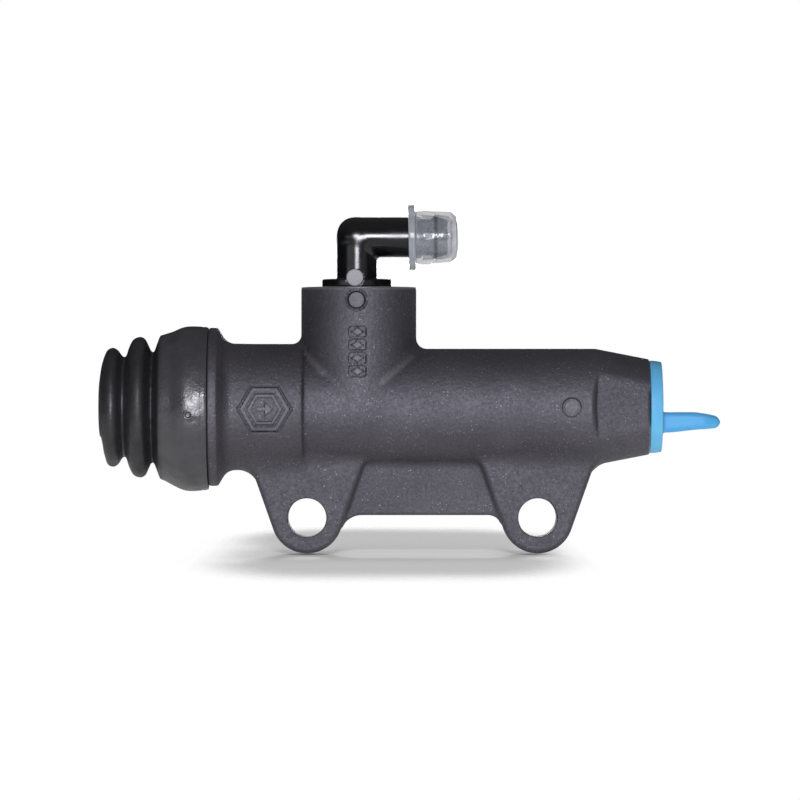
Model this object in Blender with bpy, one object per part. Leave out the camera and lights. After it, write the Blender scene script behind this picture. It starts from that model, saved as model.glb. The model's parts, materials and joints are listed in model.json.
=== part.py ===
"""Rear brake master cylinder for a motorcycle, as an assembly of its separate pieces.

Frame: +X runs along the bore towards the outlet, +Z points up to the reservoir fitting, and the
origin lies midway between the two mounting holes, on the casting's plane of symmetry.
Every size below is in millimetres; MM turns it into Blender's metres as a mesh is made.
"""

import math

import bmesh
import bpy
from mathutils import Vector

MM = 0.001
WELD = 1e-6  # metres; joins the points that a spin leaves on its axis

# Driving dimensions
BOLT_SPACING = 50.0
BOLT_HOLE_R = 4.2
LUG_R = 7.75
LUG_SLOPE = math.radians(19.5)  # each side of a lug leans this far from vertical
LUG_THICK = 12.3
WEB_THICK = 7.0
WEB_BOTTOM = 0.5
AXIS_Z = 24.0  # the bore's axis above the mounting holes
BORE_R = 6.5
NECK_R = 14.9  # the casting's end inside the dust boot
FLANGE_R = 17.2
REAR_BARREL_R = 13.8
BARREL_R = 12.65
OUTLET_R = 10.35
BODY_LEFT = -55.0
FLANGE_X = -46.4
STEP_X = -26.0
CONE_X = 37.6
BODY_RIGHT = 49.4
BORE_END = 31.0
OUTLET_THREAD_R = 4.5
BOSS_X = -13.8
BOSS_R = 12.5
BOSS_TOP = 50.0
PORT_X = -14.2  # the port is bored a little off the cast boss's centre
PORT_R = 6.5
PORT_FLOOR = 34.0
SPIGOT_Z = 60.9
PIPE_R = 4.35
PASSAGE_R = 2.7
SPIGOT_END = 5.5
SNAP_GROOVE = (46.5, 47.9)  # heights of the groove that the elbow's snap ring lies in
O_RING_GROOVE = (39.6, 41.8)
PIN_X = -14.6  # the index pin lies a little to the left of the elbow's stem
PIN_Z = 52.0
PIN_R = 1.85
CIRCLIP_GROOVE = (-50.6, -49.0)
CIRCLIP_GROOVE_R = 9.75
MOUTH_R = 9.0  # the bore's wide mouth, which ends at WASHER_SEAT
WASHER_SEAT = -47.4
SEAL_LIP_R = 6.4

ROUND = 36  # sides of the large turned pieces
SMALL_ROUND = 24


def start_empty():
    for obj in list(bpy.data.objects):
        bpy.data.objects.remove(obj)


# ---------------------------------------------------------------- materials


def material(name, colour, roughness, metallic=0.0, alpha=1.0):
    made = bpy.data.materials.new(name)
    made.use_nodes = True
    shader = made.node_tree.nodes["Principled BSDF"]
    shader.inputs["Base Color"].default_value = (*colour, 1.0)
    shader.inputs["Roughness"].default_value = roughness
    shader.inputs["Metallic"].default_value = metallic
    shader.inputs["Alpha"].default_value = alpha
    made.diffuse_color = (*colour, alpha)
    return made


def all_materials():
    return {
        "black_casting": material("black_casting", (0.085, 0.083, 0.093), 0.55, 0.3),
        "black_rubber": material("black_rubber", (0.03, 0.03, 0.03), 0.5),
        "black_plastic": material("black_plastic", (0.008, 0.008, 0.009), 0.2),
        "clear_plastic": material("clear_plastic", (0.62, 0.68, 0.72), 0.15, alpha=0.4),
        "blue_plastic": material("blue_plastic", (0.13, 0.5, 0.86), 0.35),
        "bright_steel": material("bright_steel", (0.6, 0.59, 0.62), 0.3, 1.0),
        "anodised_piston": material("anodised_piston", (0.45, 0.43, 0.4), 0.35, 1.0),
        "white_plastic": material("white_plastic", (0.75, 0.74, 0.7), 0.4),
    }


# ---------------------------------------------------------------- modelling tools


def add_object(name, bm, finish=None):
    """A bmesh made into a named object, smooth but for its real edges."""
    bmesh.ops.recalc_face_normals(bm, faces=bm.faces)
    mesh = bpy.data.meshes.new(name)
    bm.to_mesh(mesh)
    bm.free()
    mesh.shade_smooth()
    mesh.set_sharp_from_angle(angle=math.radians(30))
    obj = bpy.data.objects.new(name, mesh)
    bpy.context.scene.collection.objects.link(obj)
    if finish:
        mesh.materials.append(finish)
    return obj


def turned(name, profile, segments, finish=None):
    """A solid turned about its own Z axis from (along, radius) points.

    The profile is a closed section, unless it starts and ends on the axis.
    """
    bm = bmesh.new()
    points = [bm.verts.new((radius * MM, 0, along * MM)) for along, radius in profile]
    ring = points if profile[0][1] == 0 else [*points, points[0]]
    edges = [bm.edges.new(pair) for pair in zip(ring, ring[1:])]
    bmesh.ops.spin(
        bm,
        geom=[*points, *edges],
        cent=(0, 0, 0),
        axis=(0, 0, 1),
        angle=2 * math.pi,
        steps=segments,
        use_merge=True,
    )
    bmesh.ops.remove_doubles(bm, verts=bm.verts, dist=WELD)
    return add_object(name, bm, finish)


def along_x(obj, height):
    """Lays a turned solid down along +X, at this height above the mounting holes."""
    obj.rotation_euler = (0, math.pi / 2, 0)
    obj.location = (0, 0, height * MM)
    return obj


def upright(obj, x):
    """Stands a turned solid on a vertical axis at this x."""
    obj.location = (x * MM, 0, 0)
    return obj


def rounded(corners, steps=6):
    """An outline through corners (x, z, radius), each rounded by its own radius."""
    outline = []
    for i, (x, z, radius) in enumerate(corners):
        here = Vector((x, z))
        if radius == 0:
            outline.append((x, z))
            continue
        before = (Vector(corners[i - 1][:2]) - here).normalized()
        after = (Vector(corners[(i + 1) % len(corners)][:2]) - here).normalized()
        half = before.angle(after) / 2
        centre = here + (before + after).normalized() * radius / math.sin(half)
        start = here + before * radius / math.tan(half) - centre
        end = here + after * radius / math.tan(half) - centre
        first = math.atan2(start.y, start.x)
        sweep = (math.atan2(end.y, end.x) - first + math.pi) % (2 * math.pi) - math.pi
        for k in range(steps + 1):
            angle = first + sweep * k / steps
            outline.append((centre.x + radius * math.cos(angle), centre.y + radius * math.sin(angle)))
    return outline


def plate(name, outline, thickness, finish=None):
    """A flat piece: an outline in X and Z, as thick along Y, centred on Y = 0."""
    bm = bmesh.new()
    front = [bm.verts.new((x * MM, -thickness / 2 * MM, z * MM)) for x, z in outline]
    made = bmesh.ops.extrude_face_region(bm, geom=[bm.faces.new(front)])
    moved = [v for v in made["geom"] if isinstance(v, bmesh.types.BMVert)]
    bmesh.ops.translate(bm, verts=moved, vec=(0, thickness * MM, 0))
    if len(bm.faces) == len(outline) + 1:
        bm.faces.new(front)
    return add_object(name, bm, finish)


def ring_stack(name, rings, finish=None, closed=False):
    """A skin over rings of points, each ring with as many points.

    It closes on itself from the last ring to the first, or each end gets a flat cap.
    """
    bm = bmesh.new()
    made = [[bm.verts.new(point) for point in ring] for ring in rings]
    pairs = list(zip(made, made[1:] + made[:1])) if closed else list(zip(made, made[1:]))
    for low, high in pairs:
        for i in range(len(low)):
            j = (i + 1) % len(low)
            bm.faces.new((low[i], low[j], high[j], high[i]))
    if not closed:
        bm.faces.new(made[0])
        bm.faces.new(made[-1])
    bmesh.ops.remove_doubles(bm, verts=bm.verts, dist=WELD)
    return add_object(name, bm, finish)


def wire(name, points, radius, finish, resolution=2):
    """A round wire along points in millimetres."""
    curve = bpy.data.curves.new(name, "CURVE")
    curve.dimensions = "3D"
    curve.bevel_depth = radius * MM
    curve.bevel_resolution = resolution
    curve.use_fill_caps = True
    spline = curve.splines.new("POLY")
    spline.points.add(len(points) - 1)
    for target, point in zip(spline.points, points):
        target.co = (*(c * MM for c in point), 1)
    curve.materials.append(finish)
    obj = bpy.data.objects.new(name, curve)
    bpy.context.scene.collection.objects.link(obj)
    return obj


def combine(target, other, operation):
    """Joins another solid to the target, or cuts it out, and hides it as a tool."""
    modifier = target.modifiers.new(f"{operation.lower()}_{other.name}", "BOOLEAN")
    modifier.operation = operation
    modifier.solver = "EXACT"
    modifier.object = other
    other.hide_render = True
    other.display_type = "WIRE"


def drill(name, radius, start, end):
    """A plain round cutter between two points in millimetres."""
    low, high = Vector(start), Vector(end)
    length = (high - low).length
    obj = turned(name, [(0, 0), (0, radius), (length, radius), (length, 0)], SMALL_ROUND)
    obj.rotation_mode = "QUATERNION"
    obj.rotation_quaternion = (high - low).to_track_quat("Z", "Y")
    obj.location = low * MM
    return obj


# ---------------------------------------------------------------- the casting


def barrel_profile():
    """The casting's outside, turned about the bore: neck, boot flange, barrel and outlet cone."""
    groove = (BODY_LEFT + 2.4, BODY_LEFT + 4.6)  # holds the dust boot's inner bead
    return [
        (BODY_LEFT, 0),
        (BODY_LEFT, NECK_R - 0.6),
        (BODY_LEFT + 0.6, NECK_R),
        (groove[0], NECK_R),
        (groove[0], NECK_R - 1.0),
        (groove[1], NECK_R - 1.0),
        (groove[1], NECK_R),
        (FLANGE_X, NECK_R),
        (FLANGE_X, FLANGE_R - 0.6),
        (FLANGE_X + 0.5, FLANGE_R),
        (FLANGE_X + 1.8, FLANGE_R),
        (FLANGE_X + 2.5, FLANGE_R - 0.5),
        (FLANGE_X + 3.1, FLANGE_R - 1.6),
        (FLANGE_X + 3.9, REAR_BARREL_R + 0.7),
        (FLANGE_X + 4.9, REAR_BARREL_R + 0.15),
        (FLANGE_X + 6.2, REAR_BARREL_R),
        (STEP_X - 1.0, REAR_BARREL_R),
        (STEP_X - 0.3, REAR_BARREL_R - 0.4),
        (STEP_X, BARREL_R),
        (CONE_X, BARREL_R),
        (BODY_RIGHT - 0.4, OUTLET_R),
        (BODY_RIGHT, OUTLET_R - 0.4),
        (BODY_RIGHT, 0),
    ]


def bore_profile():
    """The turned inside: mouth, circlip groove, bore, passage and outlet port."""
    passage_r = 1.5
    drill_tip = BORE_END + 5.0
    return [
        (BODY_LEFT - 1.0, 0),
        (BODY_LEFT - 1.0, MOUTH_R + 0.8),
        (BODY_LEFT, MOUTH_R + 0.8),
        (BODY_LEFT + 0.8, MOUTH_R),
        (CIRCLIP_GROOVE[0], MOUTH_R),
        (CIRCLIP_GROOVE[0], CIRCLIP_GROOVE_R),
        (CIRCLIP_GROOVE[1], CIRCLIP_GROOVE_R),
        (CIRCLIP_GROOVE[1], MOUTH_R),
        (WASHER_SEAT, MOUTH_R),
        (WASHER_SEAT, BORE_R + 0.4),
        (WASHER_SEAT + 0.6, BORE_R),
        (BORE_END - 1.2, BORE_R),
        (BORE_END, passage_r),
        (drill_tip, passage_r),
        (drill_tip + 1.6, OUTLET_THREAD_R),
        (BODY_RIGHT - 0.7, OUTLET_THREAD_R),
        (BODY_RIGHT, OUTLET_THREAD_R + 0.7),
        (BODY_RIGHT + 1.0, OUTLET_THREAD_R + 0.7),
        (BODY_RIGHT + 1.0, 0),
    ]


def port_profile():
    """The reservoir port, turned about the boss, with its snap ring groove."""
    groove_r = 7.15
    return [
        (PORT_FLOOR - 0.8, 0),
        (PORT_FLOOR, PORT_R),
        (SNAP_GROOVE[0], PORT_R),
        (SNAP_GROOVE[0], groove_r),
        (SNAP_GROOVE[1], groove_r),
        (SNAP_GROOVE[1], PORT_R),
        (BOSS_TOP - 0.4, PORT_R),
        (BOSS_TOP, PORT_R + 0.4),
        (BOSS_TOP + 1.0, PORT_R + 0.4),
        (BOSS_TOP + 1.0, 0),
    ]


def lug_side_x(z):
    """Half the width of a lug at height z, where its sides are straight."""
    return (LUG_R + z * math.sin(LUG_SLOPE)) / math.cos(LUG_SLOPE)


def lug_outline(hole_x, outer, underside, fillet):
    """A mounting lug round its hole, with a fillet to the barrel on its outer side (-1 or 1)."""
    apex = (hole_x, -LUG_R / math.sin(LUG_SLOPE), LUG_R)
    inside = AXIS_Z - 8.0
    corner = hole_x + outer * lug_side_x(underside)
    tangent = fillet / math.tan(math.pi / 4 + LUG_SLOPE / 2)  # from the corner to the fillet's end
    end = corner + outer * (tangent + 0.2)
    return rounded(
        [
            (hole_x - outer * lug_side_x(inside), inside, 0),
            apex,
            (corner, underside, fillet),
            (end, underside, 0),
            (end, inside, 0),
        ]
    )


def web_outline():
    """The thin web between the lugs, with its lower corners filleted into them."""
    half = BOLT_SPACING / 2
    side = half - lug_side_x(WEB_BOTTOM)
    low = -2.0
    foot = half - lug_side_x(low)
    top = AXIS_Z - 8.7
    return rounded(
        [
            (-half, top, 0),
            (-half, low, 0),
            (-foot, low, 0),
            (-side, WEB_BOTTOM, 2.0),
            (side, WEB_BOTTOM, 2.0),
            (foot, low, 0),
            (half, low, 0),
            (half, top, 0),
        ],
        steps=4,
    )


def flat_cutter(side):
    """Cuts the shallow flat on the outlet cone, on the -Y or +Y side."""
    deep, shallow, far = 10.7, 9.6, 18.0
    start, end = CONE_X + 0.4, BODY_RIGHT
    slope = (deep - shallow) / (end - start)
    past = end + 2.0
    corners = [(start, far), (start, deep), (past, deep - slope * (past - start)), (past, far)]
    low, high = AXIS_Z - 12.0, AXIS_Z + 12.0
    rings = [[(x * MM, side * y * MM, z * MM) for x, y in corners] for z in (low, high)]
    return ring_stack(f"flat_cutter_{'front' if side < 0 else 'back'}", rings)


def cylinder_body(finish):
    """The cast body: everything else is fitted into it or onto it."""
    body = along_x(turned("cylinder_body", barrel_profile(), ROUND, finish), AXIS_Z)
    half = BOLT_SPACING / 2
    boss = turned(
        "boss_solid",
        [
            (AXIS_Z, 0),
            (AXIS_Z, BOSS_R),
            (BOSS_TOP - 0.3, BOSS_R),
            (BOSS_TOP, BOSS_R - 0.3),
            (BOSS_TOP, 0),
        ],
        ROUND,
    )
    rear_lug = lug_outline(-half, -1, AXIS_Z - REAR_BARREL_R, 3.0)
    front_lug = lug_outline(half, 1, AXIS_Z - BARREL_R + 0.25, 2.4)
    added = [
        upright(boss, BOSS_X),
        plate("rear_lug_solid", rear_lug, LUG_THICK),
        plate("front_lug_solid", front_lug, LUG_THICK),
        plate("web_solid", web_outline(), WEB_THICK),
    ]
    reach = LUG_THICK / 2 + 1.0
    feed_x, return_x = -18.9, -10.2
    low, high = AXIS_Z + 4.0, PORT_FLOOR + 1.0
    removed = [
        along_x(turned("bore_cutter", bore_profile(), ROUND), AXIS_Z),
        upright(turned("port_cutter", port_profile(), SMALL_ROUND), PORT_X),
        drill("rear_bolt_drill", BOLT_HOLE_R, (-half, -reach, 0), (-half, reach, 0)),
        drill("front_bolt_drill", BOLT_HOLE_R, (half, -reach, 0), (half, reach, 0)),
        drill("feed_drill", 1.25, (feed_x, 0, low), (feed_x, 0, high)),
        drill("return_drill", 0.5, (return_x, 0, low), (return_x, 0, high)),
        flat_cutter(-1),
        flat_cutter(1),
    ]
    for solid in added:
        combine(body, solid, "UNION")
    for cutter in removed:
        combine(body, cutter, "DIFFERENCE")
    return body


# ---------------------------------------------------------------- dust boot


def dust_boot(finish):
    """Rubber boot: two folds, and a collar stretched over the casting's neck."""
    outside = [
        (-70.2, 4.5),
        (-70.2, 6.2),
        (-69.1, 11.3),
        (-68.3, 12.5),
        (-67.3, 12.95),
        (-66.3, 12.5),
        (-64.9, 10.9),
        (-64.2, 11.6),
        (-63.6, 13.3),
        (-62.6, 14.8),
        (-61.4, 15.3),
        (-60.4, 14.9),
        (-59.7, 13.6),
        (-58.9, 12.2),
        (-58.0, 13.0),
        (-57.4, 14.6),
        (-56.5, 15.75),
        (-54.2, 16.4),
        (-51.2, 17.6),
        (-47.5, 17.65),
        (-46.7, 17.4),
    ]
    inside = [
        (-46.7, 15.2),
        (-50.7, 15.2),
        (-50.7, 14.2),
        (-52.3, 14.2),
        (-52.3, 15.2),
        (-55.4, 15.2),
        (-55.4, 12.6),
        (-58.9, 10.8),
        (-60.2, 12.3),
        (-61.4, 13.8),
        (-62.6, 12.8),
        (-64.9, 9.5),
        (-67.3, 11.4),
        (-69.0, 10.0),
        (-69.0, 4.5),
    ]
    return along_x(turned("dust_boot", outside + inside, ROUND, finish), AXIS_Z)


# ---------------------------------------------------------------- inside the bore


def circlip(finish):
    """Internal circlip in the bore's mouth, with two drilled ears."""
    outer, inner, ear, hole_r = CIRCLIP_GROOVE_R - 0.2, 8.35, 6.5, 0.6
    gap, ear_width = math.radians(14), math.radians(17)
    thickness = 1.1
    count = 20

    def arc(radius, first, last, steps):
        angles = [first + (last - first) * k / steps for k in range(steps + 1)]
        return [(radius * math.sin(a), -radius * math.cos(a)) for a in angles]

    far = 2 * math.pi
    outline = (
        arc(outer, gap, far - gap, count)
        + arc(ear, far - gap, far - gap - ear_width, 2)
        + arc(inner, far - gap - ear_width, gap + ear_width, count)
        + arc(ear, gap + ear_width, gap, 2)
    )
    ring = plate("circlip", outline, thickness, finish)
    hole_from_axis = (ear + inner) / 2 + 0.18
    for side in (-1, 1):
        angle = side * (gap + ear_width / 2)
        x, z = hole_from_axis * math.sin(angle), -hole_from_axis * math.cos(angle)
        name = f"circlip_hole_{'left' if side < 0 else 'right'}"
        hole = drill(name, hole_r, (x, -thickness, z), (x, thickness, z))
        hole.parent = ring
        combine(ring, hole, "DIFFERENCE")
    ring.rotation_euler = (0, 0, -math.pi / 2)
    ring.location = (sum(CIRCLIP_GROOVE) / 2 * MM, 0, AXIS_Z * MM)
    return ring


def on_bore(name, section, finish):
    """A piece turned about the bore's axis."""
    return along_x(turned(name, section, SMALL_ROUND, finish), AXIS_Z)


def stop_washer(finish):
    """The piston's rear stop, between the circlip and the step at the end of the bore's mouth."""
    rear, front = CIRCLIP_GROOVE[1] + 0.05, WASHER_SEAT - 0.3
    inner, outer = 5.0, MOUTH_R - 0.3
    return on_bore("stop_washer", [(rear, inner), (rear, outer), (front, outer), (front, inner)], finish)


def piston(finish):
    """Spool piston: a rod end with a ball seat, two lands, a slim waist, and a head with a nose."""
    land = BORE_R - 0.15
    seat_r, seat_x = 3.1, -51.2
    seat = [
        (seat_x + seat_r * math.cos(a) * 0.9, seat_r * math.sin(a))
        for a in (math.radians(d) for d in (0, 30, 60, 90))
    ]
    seat[0] = (seat[0][0], 0)
    body = [
        (seat_x, 4.3),
        (seat_x + 0.3, 4.6),
        (-47.4, 4.6),
        (-47.4, land),
        (-43.7, land),
        (-43.7, 4.6),
        (-40.5, 4.6),
        (-40.5, land),
        (-38.6, land),
        (-37.2, 3.4),
        (-19.4, 3.4),
        (-17.4, land),
        (-15.0, land),
        (-15.0, 3.1),
        (-11.5, 3.1),
        (-11.2, 2.8),
        (-11.2, 0),
    ]
    return on_bore("piston", seat + body, finish)


def secondary_seal(finish):
    """The rubber seal in the piston's rear groove, with a lip at each end."""
    section = [
        (-43.5, 4.75),
        (-43.5, 6.1),
        (-43.1, SEAL_LIP_R),
        (-42.3, SEAL_LIP_R),
        (-41.9, 6.0),
        (-40.8, SEAL_LIP_R),
        (-40.7, 4.75),
    ]
    return on_bore("secondary_seal", section, finish)


def cup_shim(finish):
    """The thin washer between the piston's head and the primary cup."""
    return on_bore("cup_shim", [(-14.85, 3.3), (-14.85, 6.2), (-14.5, 6.2), (-14.5, 3.3)], finish)


def primary_cup(finish):
    """The rubber cup that pushes the fluid, its lip towards the outlet."""
    section = [
        (-14.3, 3.3),
        (-14.3, 6.0),
        (-13.9, 6.25),
        (-11.4, SEAL_LIP_R),
        (-10.95, 6.15),
        (-11.2, 5.6),
        (-13.0, 5.2),
        (-13.2, 3.3),
    ]
    return on_bore("primary_cup", section, finish)


def spring_seat(finish):
    """A plastic cap over the piston's nose: it keeps the cup in place and centres the spring."""
    section = [
        (-10.8, 0),
        (-10.8, 3.35),
        (-13.0, 3.35),
        (-13.0, 4.7),
        (-10.4, 4.7),
        (-10.4, 5.9),
        (-9.5, 5.9),
        (-9.5, 3.9),
        (-7.4, 3.6),
        (-7.4, 0),
    ]
    return on_bore("spring_seat", section, finish)


def return_spring(finish):
    """Coil spring from the spring seat to the end of the bore, with one close coil at each end."""
    wire_r, coil_r = 0.7, 4.9
    first, last = -9.2 + wire_r, BORE_END - 1.5 - wire_r
    turns, per_turn = 9, 10
    close = 2 * wire_r + 0.35  # pitch of the end coils
    pitch = (last - first - 2 * close) / (turns - 2)

    def along(turn):
        middle = min(max(turn - 1, 0), turns - 2)
        return first + close * min(turn, 1) + pitch * middle + close * max(turn - (turns - 1), 0)

    points = []
    for k in range(turns * per_turn + 1):
        angle = 2 * math.pi * k / per_turn
        points.append((along(k / per_turn), coil_r * math.sin(angle), AXIS_Z + coil_r * math.cos(angle)))
    return wire("return_spring", points, wire_r, finish, resolution=1)


# ---------------------------------------------------------------- reservoir fitting


def pipe_ring(centre, radius, direction):
    """A ring round a pipe that points up ("up") or along +X ("across")."""
    ring = []
    for k in range(SMALL_ROUND):
        angle = 2 * math.pi * k / SMALL_ROUND
        out, side = radius * math.cos(angle), radius * math.sin(angle)
        x, z = (centre[0] - out, centre[1]) if direction == "up" else (centre[0], centre[1] + out)
        ring.append((x * MM, side * MM, z * MM))
    return ring


def corner_rings(radius, steps):
    """Rings round the elbow's corner: a ball outside, a sharp mitre inside."""
    rings = []
    for step in range(1, steps):
        turn = math.pi / 2 * step / steps
        ring = []
        for k in range(SMALL_ROUND):
            angle = 2 * math.pi * k / SMALL_ROUND
            out, side = radius * math.cos(angle), radius * math.sin(angle)
            if out > 0:
                x, z = PORT_X - out * math.cos(turn), SPIGOT_Z + out * math.sin(turn)
            else:
                x, z = PORT_X - out, SPIGOT_Z + out
            ring.append((x * MM, side * MM, z * MM))
        rings.append(ring)
    return rings


def mitred(ring, radius, direction):
    """A pipe's last ring before the corner, drawn back to the mitre on its inner side."""
    made = []
    for k, (x, y, z) in enumerate(ring):
        inner = min(0.0, radius * math.cos(2 * math.pi * k / SMALL_ROUND)) * MM
        made.append((x, y, z + inner) if direction == "up" else (x - inner, y, z))
    return made


def elbow_fitting(finish):
    """Plastic elbow: stem in the boss, collar on top of it, and a hose spigot with one barb."""
    stem = [
        (36.0, PASSAGE_R),
        (36.0, 5.9),
        (36.4, 6.3),
        (O_RING_GROOVE[0], 6.3),
        (O_RING_GROOVE[0], 4.8),
        (O_RING_GROOVE[1], 4.8),
        (O_RING_GROOVE[1], 6.3),
        (SNAP_GROOVE[0], 6.3),
        (SNAP_GROOVE[0], 5.5),
        (SNAP_GROOVE[1], 5.5),
        (SNAP_GROOVE[1], 6.3),
        (BOSS_TOP + 0.25, 6.3),
        (BOSS_TOP + 0.25, 7.4),
        (BOSS_TOP + 0.4, 7.55),
        (BOSS_TOP + 1.5, 7.55),
        (BOSS_TOP + 1.75, 7.3),
        (BOSS_TOP + 1.75, PIPE_R),
    ]
    spigot = [
        (-2.6, PIPE_R),
        (-2.0, 3.9),
        (1.9, 3.9),
        (2.3, 4.55),
        (2.8, 4.6),
        (SPIGOT_END - 0.2, 3.8),
        (SPIGOT_END, 3.6),
        (SPIGOT_END, PASSAGE_R),
    ]
    corner = (PORT_X, SPIGOT_Z)
    steps = 6
    rings = [pipe_ring((PORT_X, z), r, "up") for z, r in stem]
    rings.append(mitred(pipe_ring(corner, PIPE_R, "up"), PIPE_R, "up"))
    rings += corner_rings(PIPE_R, steps)
    rings.append(mitred(pipe_ring(corner, PIPE_R, "across"), PIPE_R, "across"))
    rings += [pipe_ring((x, SPIGOT_Z), r, "across") for x, r in spigot]
    rings.append(mitred(pipe_ring(corner, PASSAGE_R, "across"), PASSAGE_R, "across"))
    rings += reversed(corner_rings(PASSAGE_R, steps))
    rings.append(mitred(pipe_ring(corner, PASSAGE_R, "up"), PASSAGE_R, "up"))
    elbow = ring_stack("elbow_fitting", rings, finish, closed=True)
    notch = drill("pin_notch_drill", PIN_R + 0.2, (PIN_X, -9.0, PIN_Z), (PIN_X, -3.5, PIN_Z))
    combine(elbow, notch, "DIFFERENCE")
    return elbow


def elbow_index_pin(finish):
    """Short dowel lying in the collar's notch, its round end towards -Y."""
    pin = turned(
        "elbow_index_pin",
        [(0, 0), (0, PIN_R), (4.0, PIN_R), (4.25, PIN_R - 0.25), (4.25, 0)],
        SMALL_ROUND,
        finish,
    )
    pin.rotation_euler = (math.pi / 2, 0, 0)
    pin.location = (PIN_X * MM, -3.75 * MM, PIN_Z * MM)
    return pin


def elbow_o_ring(finish):
    """O-ring in the stem's groove, against the port's wall."""
    middle_r, section_r, height = 5.63, 0.75, sum(O_RING_GROOVE) / 2
    angles = [2 * math.pi * k / 8 for k in range(8)]
    section = [(height + section_r * math.sin(a), middle_r + section_r * math.cos(a)) for a in angles]
    return upright(turned("elbow_o_ring", section, SMALL_ROUND, finish), PORT_X)


def elbow_snap_ring(finish):
    """Open wire ring, half in the boss's groove and half in the stem's."""
    ring_r, height = 6.38, sum(SNAP_GROOVE) / 2
    opening = math.radians(30)
    steps = 28
    points = []
    for k in range(steps + 1):
        angle = opening + (2 * math.pi - 2 * opening) * k / steps
        points.append((PORT_X - ring_r * math.cos(angle), ring_r * math.sin(angle), height))
    return wire("elbow_snap_ring", points, 0.55, finish)


def spigot_cap(finish):
    """Clear transport cap over the spigot, with a wide brim to pull it off by."""
    outside = [
        (-3.0, 7.0),
        (-2.8, 7.2),
        (-1.7, 7.2),
        (-1.5, 7.0),
        (-1.4, 5.5),
        (0.2, 5.7),
        (1.2, 5.65),
        (3.0, 5.3),
        (6.1, 5.25),
        (7.5, 4.3),
        (7.75, 4.0),
        (7.75, 0),
    ]
    inside = [(6.7, 0), (6.7, 3.6), (6.1, 4.1), (3.4, 4.8), (-3.0, 4.8)]
    return along_x(turned("spigot_cap", inside + outside, SMALL_ROUND, finish), SPIGOT_Z)


# ---------------------------------------------------------------- outlet plug


def outlet_plug(finish):
    """Blue transport plug: a disc over the outlet face, a shank in the port, and a pull tab."""
    plug = turned(
        "outlet_plug",
        [
            (43.5, 0),
            (43.5, 3.6),
            (44.0, 4.0),
            (BODY_RIGHT + 0.3, 4.2),
            (BODY_RIGHT + 0.3, 10.0),
            (52.1, 9.75),
            (52.3, 9.5),
            (52.3, 0),
        ],
        ROUND,
        finish,
    )
    along_x(plug, AXIS_Z)
    stations = [  # x, top, bottom, half width along Y
        (51.0, 22.9, 18.2, 3.3),
        (52.6, 22.9, 18.6, 3.2),
        (55.0, 22.9, 19.05, 3.1),
        (58.7, 22.85, 19.2, 3.0),
        (61.0, 22.4, 19.3, 2.9),
        (62.8, 21.9, 19.4, 2.6),
        (64.1, 21.4, 19.7, 2.0),
        (64.8, 20.9, 20.2, 1.1),
    ]
    rings = []
    sides = 12
    for x, top, bottom, half_width in stations:
        ring = []
        for k in range(sides):
            angle = 2 * math.pi * k / sides
            y, z = half_width * math.cos(angle), (top + bottom) / 2 + (top - bottom) / 2 * math.sin(angle)
            ring.append((x * MM, y * MM, z * MM))
        rings.append(ring)
    combine(plug, ring_stack("tab_solid", rings), "UNION")
    return plug


def main():
    start_empty()
    finish = all_materials()
    cylinder_body(finish["black_casting"])
    dust_boot(finish["black_rubber"])
    circlip(finish["bright_steel"])
    stop_washer(finish["bright_steel"])
    piston(finish["anodised_piston"])
    secondary_seal(finish["black_rubber"])
    cup_shim(finish["bright_steel"])
    primary_cup(finish["black_rubber"])
    spring_seat(finish["white_plastic"])
    return_spring(finish["bright_steel"])
    elbow_fitting(finish["black_plastic"])
    elbow_index_pin(finish["bright_steel"])
    elbow_o_ring(finish["black_rubber"])
    elbow_snap_ring(finish["bright_steel"])
    spigot_cap(finish["clear_plastic"])
    outlet_plug(finish["blue_plastic"])


main()
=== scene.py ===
import json
import math

import bmesh
import bpy
import numpy as np
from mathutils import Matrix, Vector


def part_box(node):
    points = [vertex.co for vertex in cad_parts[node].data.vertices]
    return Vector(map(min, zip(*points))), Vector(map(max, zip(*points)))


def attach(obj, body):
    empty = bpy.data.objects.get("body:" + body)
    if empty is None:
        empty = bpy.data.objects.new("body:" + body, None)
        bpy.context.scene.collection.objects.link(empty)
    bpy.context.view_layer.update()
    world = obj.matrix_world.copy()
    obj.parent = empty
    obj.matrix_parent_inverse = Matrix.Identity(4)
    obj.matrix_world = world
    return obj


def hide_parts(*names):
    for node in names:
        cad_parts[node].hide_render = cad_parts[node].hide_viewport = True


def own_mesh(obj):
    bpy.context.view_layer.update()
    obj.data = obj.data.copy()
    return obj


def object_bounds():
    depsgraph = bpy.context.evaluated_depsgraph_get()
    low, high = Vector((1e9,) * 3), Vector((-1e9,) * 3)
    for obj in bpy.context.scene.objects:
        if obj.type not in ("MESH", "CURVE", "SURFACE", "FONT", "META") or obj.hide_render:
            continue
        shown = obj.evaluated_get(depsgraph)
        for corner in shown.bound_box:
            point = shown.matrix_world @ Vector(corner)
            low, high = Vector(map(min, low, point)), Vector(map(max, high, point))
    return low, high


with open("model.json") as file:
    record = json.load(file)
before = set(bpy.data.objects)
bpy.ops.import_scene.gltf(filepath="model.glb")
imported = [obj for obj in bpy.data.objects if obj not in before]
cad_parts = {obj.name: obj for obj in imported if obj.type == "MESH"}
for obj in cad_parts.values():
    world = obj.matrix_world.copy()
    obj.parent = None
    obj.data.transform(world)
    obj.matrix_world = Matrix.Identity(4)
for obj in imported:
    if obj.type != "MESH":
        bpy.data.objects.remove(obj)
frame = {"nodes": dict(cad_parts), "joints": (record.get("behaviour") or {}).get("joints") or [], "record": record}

# The looks of a motorcycle's rear brake master cylinder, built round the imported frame.

CAD_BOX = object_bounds()
MM = 0.001


def node_box(name):
    """A CAD node's lowest and highest corner in millimetres."""
    low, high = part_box(name)
    return [c / MM for c in low], [c / MM for c in high]


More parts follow.
